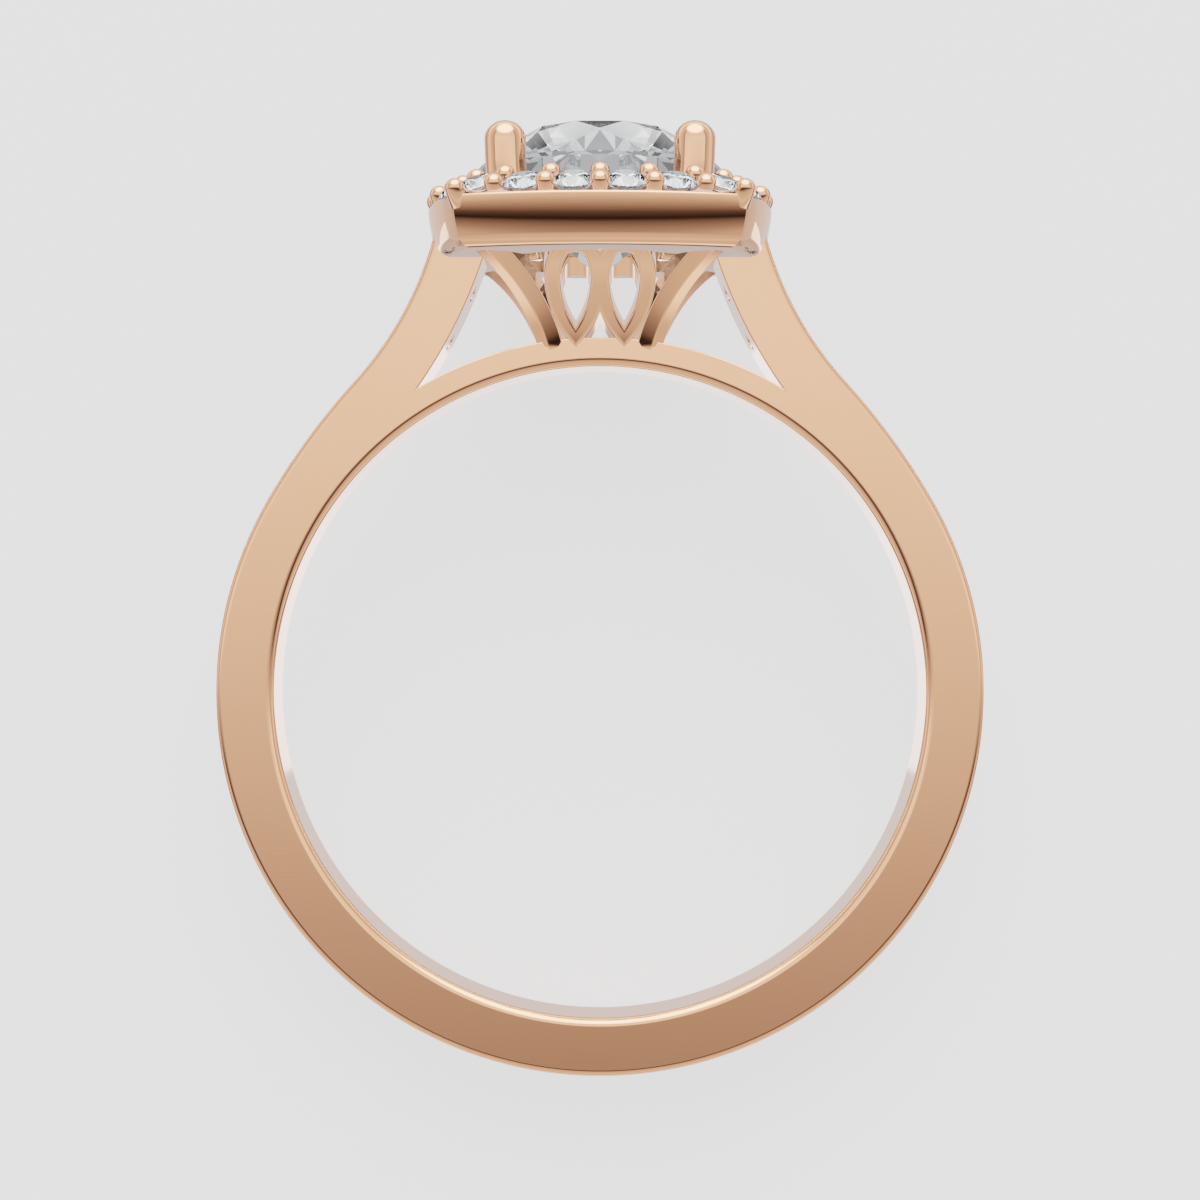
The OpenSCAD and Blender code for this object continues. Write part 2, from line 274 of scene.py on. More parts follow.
def finishPiece(name, mesh, node="mounting"):
    markEdges(mesh)
    mesh.materials.clear()
    mesh.materials.append(metalFinish)
    mesh.polygons.foreach_set("material_index", [0] * len(mesh.polygons))
    made = objectOf(mesh, name)
    # As in the photo, polished metal shows the light of the room and the stones, but no other metal
    made.visible_glossy = made.visible_transmission = False
    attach(made, "root")
    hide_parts(node)
    print(name, "done:", len(mesh.polygons), "faces")


# Materials

def linearColour(code):
    parts = [int(code[i:i + 2], 16) / 255 for i in (0, 2, 4)]
    return [p / 12.92 if p <= 0.04045 else ((p + 0.055) / 1.055) ** 2.4 for p in parts] + [1]


def addNode(tree, kind, inputs=None, **settings):
    # An input is a value, an output to link, or a node, which stands for its first output in use
    made = tree.nodes.new(kind)
    for key, value in settings.items():
        setattr(made, key, value)
    for key, given in (inputs or {}).items():
        if isinstance(given, bpy.types.Node):
            given = next(s for s in given.outputs if s.enabled)
        if isinstance(given, bpy.types.NodeSocket):
            tree.links.new(given, made.inputs[key])
        else:
            made.inputs[key].default_value = given
    return made


def newMaterial(name):
    made = bpy.data.materials.new(name)
    made.use_nodes = True
    made.node_tree.nodes.clear()
    return made, made.node_tree


def shadeWith(tree, inputs):
    shader = addNode(tree, "ShaderNodeBsdfPrincipled", inputs)
    addNode(tree, "ShaderNodeOutputMaterial", {"Surface": shader})


# 14 carat rose gold, cast and mirror polished on a buff: copper in the gold makes it pink,
# and the buff leaves a faint, slow change of gloss and hairlines that show only in a close view.
roseGold = {
    "colour": "F9AB82",
    "warmColour": "F7A67C",
    "roughness": 0.05,
    "polishSpread": 0.02,
    "polishSize": 1.5,  # between brighter and duller spots
    "polishDetail": 3,
    "polishRoughness": 0.6,
    "polishRange": (0.3, 0.7),
    "hairline": 0.06,  # between hairlines, coarser than real so that they show
    "hairlineStretch": 0.06,
    "hairlineDetail": 2,
    "hairlineDepth": 0.02,
    "hairlineStrength": 0.008,
}


def polishedRoseGold():
    made, tree = newMaterial("polishedRoseGold")
    place = addNode(tree, "ShaderNodeTexCoord").outputs["Object"]
    cloud = addNode(tree, "ShaderNodeTexNoise",
                    {"Scale": 1 / (roseGold["polishSize"] * mm), "Detail": roseGold["polishDetail"],
                     "Roughness": roseGold["polishRoughness"], "Vector": place})
    roughness, spread = roseGold["roughness"], roseGold["polishSpread"]
    gloss = addNode(tree, "ShaderNodeMapRange",
                    {"From Min": roseGold["polishRange"][0], "From Max": roseGold["polishRange"][1],
                     "To Min": roughness - spread, "To Max": roughness + spread, "Value": cloud})
    tint = addNode(tree, "ShaderNodeMix", {"Factor": cloud, "A": linearColour(roseGold["colour"]),
                                           "B": linearColour(roseGold["warmColour"])}, data_type="RGBA")
    lengthwise = addNode(tree, "ShaderNodeMapping", {"Scale": (roseGold["hairlineStretch"], 1, 1), "Vector": place})
    hairs = addNode(tree, "ShaderNodeTexNoise", {"Scale": 1 / (roseGold["hairline"] * mm),
                                                 "Detail": roseGold["hairlineDetail"], "Vector": lengthwise})
    bump = addNode(tree, "ShaderNodeBump", {"Strength": roseGold["hairlineStrength"],
                                            "Distance": roseGold["hairlineDepth"] * mm, "Height": hairs})
    shadeWith(tree, {"Metallic": 1.0, "Base Color": tint, "Roughness": gloss, "Normal": bump})
    return made


# Cut diamond: clear, with a high IOR, so its facets turn white, grey and black.
diamond = {
    "colour": "C4C8CB",
    "ior": 2.417,
    "roughness": 0.0,
}


def cutDiamond():
    made, tree = newMaterial("cutDiamond")
    shadeWith(tree, {"Base Color": linearColour(diamond["colour"]), "Transmission Weight": 1.0,
                     "IOR": diamond["ior"], "Roughness": diamond["roughness"]})
    return made


metalFinish = polishedRoseGold()
diamondFinish = cutDiamond()
print("materials made")


# Plates: an outline with rounded edges, drawn flat and given a thickness

sameWay = 0.999  # cosine of the angle within which two normals count as one


def insetPoint(point, normalA, roundA, normalB, roundB):
    # Where the two offset sides of a corner meet
    return point + np.linalg.solve(np.array([normalA, normalB]), [-roundA, -roundB])


def plateLoops(segments, roundings, stepCount):
    # Joins a closed run of segments into rings of points, one ring for each step of the rounded edge.
    # Each segment's rounding is a pair, its sizes at the start and at the end.
    steps = [math.radians(a) for a in np.linspace(0, 90, stepCount + 1)]
    columns = []
    for k, ((points, normals), ends) in enumerate(zip(segments, roundings)):
        columns += [(*column, k) for column in zip(points, normals, np.linspace(*ends, len(points)))]
    rings = []
    for step in steps:
        ring = []
        for i, (point, normal, size, part) in enumerate(columns):
            inset = size * (1 - math.cos(step))
            other = None
            for beside in (columns[i - 1], columns[(i + 1) % len(columns)]):
                if beside[3] != part and np.allclose(beside[0], point, atol=closeBy):
                    other = beside
            if other and np.dot(other[1], normal) < sameWay:
                moved = insetPoint(point, normal, inset, other[1], other[2] * (1 - math.cos(step)))
            else:
                moved = point - inset * normal
            ring.append((moved, normal, size, part))
        rings.append(ring)
    return steps, rings


def plate(name, outlines, half, stepCount, place):
    # outlines: (segments, roundings) for each closed loop; place maps (u, v, w), points and directions alike
    patches, faceLoops = [], {1: [], -1: []}
    for segments, roundings in outlines:
        steps, rings = plateLoops(segments, roundings, stepCount)
        count = len(segments)
        for side in (1, -1):
            flat = []
            for corner in [place(*c[0], side * half) for c in rings[-1]]:
                if not flat or np.linalg.norm(corner - flat[-1]) > closeBy:
                    flat.append(corner)
            if np.linalg.norm(flat[0] - flat[-1]) < closeBy:
                flat.pop()
            faceLoops[side].append(flat)
        rows = [(ring, step, side) for side in (1, -1) for ring, step in list(zip(rings, steps))[::-side]]
        for part in range(count):
            grid, gridNormals = [], []
            for ring, step, side in rows:
                spots = [c for c in ring if c[3] == part]
                following = [c for c in ring if c[3] == (part + 1) % count]
                if count == 1:
                    spots.append(spots[0])
                elif following and np.linalg.norm(following[0][0] - spots[-1][0]) > closeBy:
                    spots.append(following[0])
                grid.append([place(*c[0], side * (half - c[2] * (1 - math.sin(step)))) for c in spots])
                gridNormals.append([place(*(c[1] * math.cos(step)), side * math.sin(step)) for c in spots])
            patches.append(gridPatch(grid, gridNormals))
    flats = [flatFace(faceLoops[side], place(0, 0, side)) for side in (1, -1)]
    return meshOf(name, patches, flats)


# Turned shapes, used as cutters

def ringsOf(pairs, segments):
    angles = np.linspace(0, 2 * math.pi, segments + 1)
    return np.array([[[r * math.cos(a), r * math.sin(a), z] for a in angles] for r, z in pairs])


def lathe(profile, placed, segments):
    # profile: (radius, height) from bottom to top on the axis; placed: 4x4 in the worn frame
    spin, patches = placed[:3, :3].T, []
    for low, high in zip(profile[:-1], profile[1:]):
        slope = unit([high[1] - low[1], low[0] - high[0]])
        patches.append(gridPatch(ringsOf((low, high), segments) @ spin + placed[:3, 3],
                                 ringsOf((slope, slope), segments) @ spin))
    return patches


def cutterOf(name, profile, places, segments):
    return meshOf(name, [p for placed in places for p in lathe(profile, placed, segments)], inwards=True)


def turn(axis, degrees):
    # About the worn frame's X, Y or Z
    first, second = ("XYZ".index(axis) + 1) % 3, ("XYZ".index(axis) + 2) % 3
    made = np.eye(4)
    made[first, first], made[second, first] = direction(degrees)
    made[second, second], made[first, second] = made[first, first], -made[second, first]
    return made


def shift(x, y, z):
    made = np.eye(4)
    made[:3, 3] = (x, y, z)
    return made


# Stones: proportions of a round brilliant, as shares of its radius
brilliant = {
    "table": 0.513,
    "star": 0.714,
    "lower": 0.22,
    "lowerRise": 0.8,  # of the pavilion's blunt point, as a share of its width
    "crown": 0.317,
    "girdle": 0.031,
    "pavilion": 0.868,
    "gap": 0.02,  # clearance to the metal, in millimetres
}


def spaceBelow(radius):
    gap = brilliant["gap"]
    girdle, pavilion, lower = brilliant["girdle"], brilliant["pavilion"], brilliant["lower"]
    return [
        (0, -radius * (girdle / 2 + pavilion) - gap),
        (radius * lower + gap, -radius * (girdle / 2 + pavilion - lower * brilliant["lowerRise"]) - gap),
        (radius + gap, -radius * girdle / 2 - gap),
    ]


def seatProfile(radius):
    return spaceBelow(radius) + [(radius + brilliant["gap"], radius), (0, radius)]


def stoneProfile(radius):
    gap = brilliant["gap"]
    high = radius * brilliant["girdle"] / 2 + gap
    table, star, crown = brilliant["table"], brilliant["star"], brilliant["crown"]
    # The star facets' tips lie half of an eighth of a turn from the table's corners
    starDrop = (star * math.cos(math.radians(22.5)) - table) * crown / (1 - table)
    return spaceBelow(radius) + [
        (radius + gap, high),
        (radius * star + gap, high + radius * (crown - starDrop)),
        (radius * table + gap, high + radius * crown),
        (0, high + radius * crown),
    ]


# Shank: band, shoulders and bridge are one plate with a round finger hole
shank = {
    "fingerDiameter": 17.3,
    "bandThickness": 1.54,
    "bandWidth": 2.5,
    "outerRounding": 0.17,
    "boreRounding": 0.22,
    "windowRounding": 0.035,
    "bridgeThickness": 0.75,
    "leaveAngle": 30,  # above the middle, where the shoulder leaves the band
    "sweepRadius": 9.32,  # hollow outer side of the shoulder
    "sweepCentre": (-13.42, 14.51),
    "windowRadius": 13.45,  # inner side, beside the head
    "windowCentre": (-15.85, 15.77),
    "top": 12.1,
    "stoneDiameter": 1.0,
    "azureDiameter": 0.5,
    "azureStart": 0.2,
    "azureDepth": 2.5,
    "stoneAngles": (-21, -28.7),  # about the sweep's centre
    "seatSegments": 64,
    "azureSegments": 32,
    "edgeSteps": 8,
    "ringStep": 2,  # degrees between two points of the band and the bore
    "fineStep": 1,
}


def shankOutline():
    boreR = shank["fingerDiameter"] / 2
    bandR = boreR + shank["bandThickness"]
    bridgeR = boreR + shank["bridgeThickness"]
    sweepC, sweepR = np.array(shank["sweepCentre"]), shank["sweepRadius"]
    windowC, windowR = np.array(shank["windowCentre"]), shank["windowRadius"]
    leaveAt = 180 - shank["leaveAngle"]
    leave = direction(leaveAt)
    total = bandR + sweepR
    bulgeShift = (sweepC @ sweepC - total**2) / (2 * (total - sweepC @ leave))
    bulgeR, bulgeC = bandR + bulgeShift, -bulgeShift * leave
    turnWay = unit(sweepC - bulgeC)
    top = shank["top"]
    sweepTop, windowTop = (middle + [math.sqrt(radius**2 - (top - middle[1])**2), top - middle[1]]
                           for middle, radius in ((sweepC, sweepR), (windowC, windowR)))
    corner = crossing(windowC, windowR, (0, 0), bridgeR, 1)
    ringStep, fineStep = shank["ringStep"], shank["fineStep"]
    band = arc((0, 0), bandR, -90, leaveAt - 360, ringStep)
    bulge = arc(bulgeC, bulgeR, leaveAt, angleOf(turnWay), fineStep)
    sweep = arc(sweepC, sweepR, angleOf(-turnWay), angleOf(sweepTop - sweepC), fineStep, hollow=True)
    end = line(sweepTop, windowTop, (0, 1))
    window = arc(windowC, windowR, angleOf(windowTop - windowC), angleOf(corner - windowC), fineStep)
    bridge = arc((0, 0), bridgeR, angleOf(corner), 180 - angleOf(corner), fineStep)
    left = [band, bulge, sweep, end, window]
    outline = left + [bridge] + [mirrored(s) for s in left[::-1]]
    outer, inner = shank["outerRounding"], shank["windowRounding"]
    leftSizes = [(outer, outer)] * 3 + [(outer, inner), (inner, inner)]
    sizes = leftSizes + [(inner, inner)] + [s[::-1] for s in leftSizes[::-1]]
    bore = arc((0, 0), boreR, 0, 360 - ringStep, ringStep, hollow=True)
    return [(outline, sizes), ([bore], [(shank["boreRounding"],) * 2])]


def onShoulder(side, step):
    radius = shank["stoneDiameter"] / 2
    flush = radius * (brilliant["crown"] + brilliant["girdle"] / 2)
    placed = (shift(shank["sweepCentre"][0], 0, shank["sweepCentre"][1]) @ turn("Y", -shank["stoneAngles"][step])
              @ shift(shank["sweepRadius"] + flush, 0, 0) @ turn("Y", -90))
    return np.diag([-side, 1, 1, 1.0]) @ placed if side > 0 else placed


def worn(u, v, w):
    return np.array([u, w, v], float)


shankPlate = plate("shankPlate", shankOutline(), shank["bandWidth"] / 2, shank["edgeSteps"], worn)
azureR, deep, start = shank["azureDiameter"] / 2, -shank["azureDepth"], -shank["azureStart"]
azureProfile = [(0, deep), (azureR, deep), (azureR, start), (0, start)]
shoulderPlaces = [onShoulder(side, step) for side in (-1, 1) for step in (0, 1)]
seats = cutterOf("seats", seatProfile(shank["stoneDiameter"] / 2), shoulderPlaces, shank["seatSegments"])
azures = cutterOf("azures", azureProfile, shoulderPlaces, shank["azureSegments"])
finishPiece("shank", cutFrom(shankPlate, [seats, azures]))


# Halo: a cushion-shaped tray. Each side is a surface turned about an axis beyond the middle,
# and the four sides meet in sharp mitres at the corners.
halo = {
    "half": 4.6,  # from the middle to the middle of a side
    "wallSweep": 9.2,  # radius of each side of the tray, seen from above
    "rowSweep": 6.6,  # radius of the rows of stones and beads
    "under": 11.52,  # height of the underside
    "edge": 12.86,  # height of the wall's upper edge
    "slope": 25,  # of the top, down to the edge
    "edgeRounding": 0.07,
    "wallLean": 4,
    "wallRadius": 3.87,  # of the wall's bow
    "footRounding": 0.42,
    "openingLow": 2.85,
    "openingFlare": 0.2446,
    "stoneDiameter": 1.16,
    "stoneInset": 0.57,
    "stoneLift": 0.06,
    "pitch": 12.6,  # between two stones, about the row's centre
    "stoneSteps": (-1.5, -0.5, 0.5, 1.5),  # in pitches from the middle of a side
    "cornerStep": 2.5,
    "halvings": 40,
    "columns": 61,
    "footPoints": 13,
    "bowPoints": 33,
    "edgePoints": 9,
    "topPoints": 6,
    "spaceSegments": 48,
}
trayShift = halo["wallSweep"] - halo["half"]
rowShift = halo["rowSweep"] - halo["half"]
haloRise = math.tan(math.radians(halo["slope"]))
cornerSlope = math.degrees(math.atan(haloRise * math.cos(math.radians(45 - halo["pitch"] * halo["cornerStep"]))))


def haloProfile():
    # From the underside up the bowed wall to the top edge: (radius, height, normal across, normal up)
    lean = math.radians(halo["wallLean"])
    slope = math.radians(halo["slope"])
    rounding, foot, bow = halo["edgeRounding"], halo["footRounding"], halo["wallRadius"]
    edgeC = np.array([halo["wallSweep"], halo["edge"]]) - rounding
    bowC = edgeC + (bow - rounding) * np.array([-math.cos(lean), math.sin(lean)])
    last = math.asin((bowC[1] - foot - halo["under"]) / (bow - foot))
    footC = bowC + (bow - foot) * np.array([math.cos(last), -math.sin(last)])
    rows = []
    for middle, radius, angles in (
            (footC, foot, np.linspace(-math.pi / 2, -last, halo["footPoints"])),
            (bowC, bow, np.linspace(-last, -lean, halo["bowPoints"])[1:]),
            (edgeC, rounding, np.linspace(-lean, math.pi / 2 - slope, halo["edgePoints"])[1:])):
        normals = np.array([[math.cos(angle), math.sin(angle)] for angle in angles])
        rows += np.hstack([middle + radius * normals, normals]).tolist()
    return rows


def haloSpot(r, z, sine, cosine):
    # A point of the front side at a radius from the side's own axis, in one direction from the ring's middle
    reach = -trayShift * cosine + math.sqrt(r**2 - (trayShift * sine)**2)
    return np.array([reach * sine, -reach * cosine, z])


def haloOutward(point, across, rise):
    away = unit(point[:2] - [0, trayShift])
    return np.array([away[0] * across, away[1] * across, rise])


def openingRadius(startR, startZ, sine, cosine):
    # Where the sloping top meets the flared opening, found by halving the gap
    low, high = 1.0, startR
    for _ in range(halo["halvings"]):
        middle = (low + high) / 2
        z = startZ + (startR - middle) * haloRise
        outside = middle > trayShift * abs(sine)
        reach = np.linalg.norm(haloSpot(middle, z, sine, cosine)[:2]) if outside else 0
        if reach < halo["openingLow"] + halo["openingFlare"] * (z - halo["under"]):
            low = middle
        else:
            high = middle
    return high


def haloMesh():
    profile = haloProfile()
    lastR, lastZ = profile[-1][:2]
    slopeNormal = direction(90 - halo["slope"])
    strips = [([], []) for _ in range(4)]
    for degrees in np.linspace(-45, 45, halo["columns"]):
        cosine, sine = direction(degrees)
        wall = [haloSpot(r, z, sine, cosine) for r, z, _, _ in profile]
        radii = np.linspace(lastR, openingRadius(lastR, lastZ, sine, cosine), halo["topPoints"])
        top = [haloSpot(r, lastZ + (lastR - r) * haloRise, sine, cosine) for r in radii]
        rim = np.array([halo["openingLow"] * sine, -halo["openingLow"] * cosine, halo["under"]])
        inward = unit([-sine, cosine, halo["openingFlare"]])
        # Underside, wall, sloping top and the opening's flare
        for strip, spots, normals in zip(strips, ([rim, wall[0]], wall, top, [top[-1], rim]), (
                [np.array([0, 0, -1])] * 2, [haloOutward(p, row[2], row[3]) for p, row in zip(wall, profile)],
                [haloOutward(p, *slopeNormal) for p in top], [inward] * 2)):
            strip[0].append(spots)
            strip[1].append(normals)
    patches = []
    for quarter in range(4):
        spin = turn("Z", 90 * quarter)[:3, :3].T
        patches += [gridPatch(np.array(grid) @ spin, np.array(normals) @ spin) for grid, normals in strips]
    return meshOf("haloTray", patches)


def onSide(quarter, inset, step, lift=0.0):
    return (turn("Z", 90 * quarter) @ shift(0, rowShift, 0) @ turn("Z", step * halo["pitch"])
            @ shift(0, -halo["rowSweep"] + inset, halo["edge"] + inset * haloRise)
            @ turn("X", halo["slope"]) @ shift(0, 0, lift))


def onCorner(quarter, reach, height, lift=0.0):
    return (turn("Z", 90 * quarter + 45) @ shift(0, -reach * math.sqrt(2), height) @ turn("X", cornerSlope)
            @ shift(0, 0, lift))


def haloStonePlaces():
    rowR = halo["rowSweep"] - halo["stoneInset"]
    rowZ = halo["edge"] + halo["stoneInset"] * haloRise
    corner = math.sqrt((rowR**2 - rowShift**2 / 2) / 2) - rowShift / 2
    places = []
    for quarter in range(4):
        places += [onSide(quarter, halo["stoneInset"], step, halo["stoneLift"]) for step in halo["stoneSteps"]]
        places.append(onCorner(quarter, corner, rowZ, halo["stoneLift"]))
    return places


def haloStoneSpaces(name):
    return cutterOf(name, stoneProfile(halo["stoneDiameter"] / 2), haloStonePlaces(), halo["spaceSegments"])


centre = {
    "diameter": 6.5,
    "table": 15.09,  # height of the flat top
    "spaceSegments": 128,
}
centreR = centre["diameter"] / 2
girdleZ = centre["table"] - centreR * (brilliant["crown"] + brilliant["girdle"] / 2)


def centreSpace(name):
    return cutterOf(name, stoneProfile(centreR), [shift(0, 0, girdleZ)], centre["spaceSegments"])


finishPiece("halo", cutFrom(haloMesh(), [haloStoneSpaces("haloSpaces"), centreSpace("centreSpace")]))


# Petals: two lens shapes side by side, pierced, front and back
petal = {
    "half": 0.83,
    "apart": 0.64,  # from the middle line to a petal's own
    "lean": 34,  # of the straight line from foot to top
    "footLean": 15,
    "hollow": 4.75,  # radius of the hollow front face
    "bends": 24,
    "thickness": 0.75,
    "front": 1.35,
    "tip": 9.11,
    "low": 2.18,  # from the tip to the widest line
    "high": 1.15,  # from there to where the upper sides would meet
    "top": 3.15,
    "holeHalf": 0.39,
    "holeBase": 0.63,
    "holeLow": 1.4,
    "holeHigh": 1.0,
    "holeTop": 0.77,
    "holeRound": 0.5,
    "edge": 0.12,
    "holeEdge": 0.1,
    "edgeSteps": 5,
    "arcPoints": 25,
    "capStep": 6,
}


def lensRadius(half, length):
    return (half**2 + length**2) / (2 * half)


def lensArc(middleX, baseY, half, length, side, start, end):
    # Part of one side of a lens: heights start to end above its widest line, side -1 or 1
    radius = lensRadius(half, length)
    centreX = middleX + side * (half - radius)
    heights = np.linspace(start, end, petal["arcPoints"])
    offsets = np.sqrt(radius**2 - heights**2)
    points = np.array([[centreX + side * o, baseY + h] for o, h in zip(offsets, heights)])
    normals = np.array([[side * o / radius, h / radius] for o, h in zip(offsets, heights)])
    return points, normals


def petalOutline():
    half, apart, low, high = petal["half"], petal["apart"], petal["low"], petal["high"]
    lowRadius, highRadius = lensRadius(half, low), lensRadius(half, high)
    topHeight = petal["top"] - low
    # Heights at which the two petals' inner sides cross on the middle line
    lowCross = -math.sqrt(lowRadius**2 - (lowRadius - half + apart)**2)
    highCross = math.sqrt(highRadius**2 - (highRadius - half + apart)**2)
    outerLow = lensArc(-apart, low, half, low, -1, -low, 0)
    outerHigh = lensArc(-apart, low, half, high, -1, 0, topHeight)
    innerHigh = lensArc(-apart, low, half, high, 1, topHeight, highCross)
    innerLow = lensArc(-apart, low, half, low, 1, lowCross, -low)
    topLine = line(outerHigh[0][-1], innerHigh[0][0], (0, 1))
    left = [outerLow, outerHigh, topLine, innerHigh]
    return left + [mirrored(s) for s in left[::-1]] + [mirrored(innerLow), innerLow]


def petalHole(side):
    half, low, high = petal["holeHalf"], petal["holeLow"], petal["holeHigh"]
    base, middle = petal["holeBase"] + low, side * petal["apart"]
    highRadius = lensRadius(half, high)
    roundY, roundR = petal["holeTop"] - petal["holeRound"], petal["holeRound"]
    meet = crossing((highRadius - half, 0), highRadius, (0, roundY), roundR, -1)
    leftLow = lensArc(middle, base, half, low, -1, -low, 0)
    leftHigh = lensArc(middle, base, half, high, -1, 0, meet[1])
    startAngle = angleOf(meet - [0, roundY])
    cap = arc((middle, base + roundY), roundR, startAngle, 180 - startAngle, petal["capStep"])
    rightHigh = lensArc(middle, base, half, high, 1, meet[1], 0)
    rightLow = lensArc(middle, base, half, low, 1, 0, -low)
    return [(points, -normals) for points, normals in (leftLow, leftHigh, cap, rightHigh, rightLow)]


def bentPetals(name, loops, side):
    # Makes the petals flat, cuts them across at even heights and leans each strip further out than
    # the one below, so that the front face turns hollow
    mesh = plate(name, loops, petal["thickness"] / 2, petal["edgeSteps"], flatPlace)
    strips = bmesh.new()
    strips.from_mesh(mesh)
    for height in np.linspace(0, petal["top"], petal["bends"] + 1)[1:-1]:
        bmesh.ops.bisect_plane(strips, geom=strips.verts[:] + strips.edges[:] + strips.faces[:],
                               plane_co=rowPoint(0, height, 0), plane_no=Vector(turned[1]))
    strips.to_mesh(mesh)
    strips.free()
    flat = spotsOf(mesh)
    normals = numbersOf(mesh.attributes["custom_normal"].data, "vector", 3) @ turned.T
    rise = flat[:, 1] * direction(petal["lean"])[0]
    footLean, hollow = math.radians(petal["footLean"]), petal["hollow"]
    lean = np.arcsin(np.sin(footLean) + rise / hollow)
    depth = flat[:, 2] - petal["thickness"] / 2
    points = np.stack([side * flat[:, 0],
                       -side * (petal["front"] + hollow * (math.cos(footLean) - np.cos(lean)) + depth * np.cos(lean)),
                       petal["tip"] + rise - depth * np.sin(lean)], axis=1)
    moveSpots(mesh, points)
    corners = numbersOf(mesh.loops, "vertex_index", kind=int)
    sine, cosine = np.sin(lean[corners]), np.cos(lean[corners])
    bent = np.stack([side * normals[:, 0], -side * (normals[:, 1] * sine + normals[:, 2] * cosine),
                     normals[:, 1] * cosine - normals[:, 2] * sine], axis=1)
    setNormals(mesh, unit(bent) @ turned)
    return mesh


def flatPlace(u, v, w):
    return np.array([u, v, w], float)


petalLoops = [(segments, [(size, size)] * len(segments)) for segments, size in (
    (petalOutline(), petal["edge"]), (petalHole(-1), petal["holeEdge"]), (petalHole(1), petal["holeEdge"]))]
for name, side in (("petals_front", 1), ("petals_back", -1)):
    finishPiece(name, bentPetals(name, petalLoops, side))


# Claw supports: six-sided bars that rise from the bridge and curve outwards along the diagonals
support = {
    "outerFace": 0.41,  # widths of the section's three levels
    "width": 0.8,
    "innerFace": 0.3,
    "frontDepth": 0.34,  # from the outer face to the widest line
    "depth": 0.77,
    "radius": 4.74,
    "lean": 15,  # at the foot, seen from the front
    "footX": 1.49,
    "footY": 1.16,
    "foot": 9.05,
    "top": 11.62,
    "edge": 0.06,
    "edgeSteps": 5,
    "footRounding": 0.12,
    "footPoints": 7,
    "points": 41,
}


def flareAt(height):
    # How far the outer face's middle line has curved outwards at a height, and its slope there
    radius, lean = support["radius"], math.radians(support["lean"])
    sine = math.sin(lean) + (height - support["foot"]) / radius
    return radius * (math.cos(lean) - math.sqrt(1 - sine**2)), math.tan(math.asin(sine))


def supportSection(height, shrink):
    # Level cut through one bar: the six corners with their roundings. The cut is longer than the
    # bar is deep where the bar leans.
    out, slope = flareAt(height)
    stretch = math.sqrt(1 + 2 * slope**2)
    middle = np.array([support["footX"] + out, support["footY"] + out])
    outwards, along = direction(45), direction(-45)
    outer, widest, inner = support["outerFace"] / 2, support["width"] / 2, support["innerFace"] / 2
    corners = [(outer, 0), (-outer, 0), (-widest, -support["frontDepth"]), (-inner, -support["depth"]),
               (inner, -support["depth"]), (widest, -support["frontDepth"])]
    edge = support["edge"]
    ring, outs = [], []
    for corner, start in zip(corners, range(30, 390, 60)):
        # From the middle of a rounding of 1 mm to its corner of 120 degrees
        pull = (direction(start) + direction(start + 60)) / 1.5
        centreSpot = np.array(corner) - (edge + shrink) * pull
        for angle in np.linspace(start, start + 60, support["edgeSteps"] + 1):
            way = direction(angle)
            u, w = centreSpot + edge * way
            ring.append([*(middle + u * along + w * stretch * outwards), height])
            outs.append([*(way[0] * along + way[1] / stretch * outwards), 0])
    ring.append(ring[0])
    outs.append(outs[0])
    return ring, outs


def supportMesh():
    rounding, foot = support["footRounding"], support["foot"]
    ways = [direction(angle) for angle in np.linspace(90, 0, support["footPoints"])]
    levels = [(foot + rounding * (1 - rise), rounding * (1 - out)) for out, rise in ways]
    levels += [(height, 0) for height in np.linspace(foot + rounding, support["top"], support["points"])[1:]]
    rings, outs = zip(*[supportSection(*level) for level in levels])
    grid, outs = np.array(rings), np.array(outs)
    # The directions along the bar and round it give the normals, which point out, or down at the flat start
    normals = np.cross(np.cross([0, 0, 1], outs), np.gradient(grid, axis=0))
    normals *= np.sign(np.sum(normals * (outs - [0, 0, 1e-3]), axis=-1, keepdims=True))
    patches, flats = [], []
    for flip in np.array([[x, y, 1] for x in (1, -1) for y in (1, -1)]):
        patches.append(gridPatch(grid * flip, normals * flip))
        flats += [flatFace([grid[end][:-1] * flip], (0, 0, way)) for end, way in ((0, -1), (-1, 1))]
    return meshOf("clawSupports", patches, flats)


finishPiece("claw_supports", supportMesh())


# Domed pins: the claws and the beads are one Geometry Nodes tree, a post with a domed head
# set on each point of a mesh and turned to the point's own direction

pinLimits = {
    "under": -1e-6,  # metres: points lower than this leave the ball
    "weld": 1e-7,
}


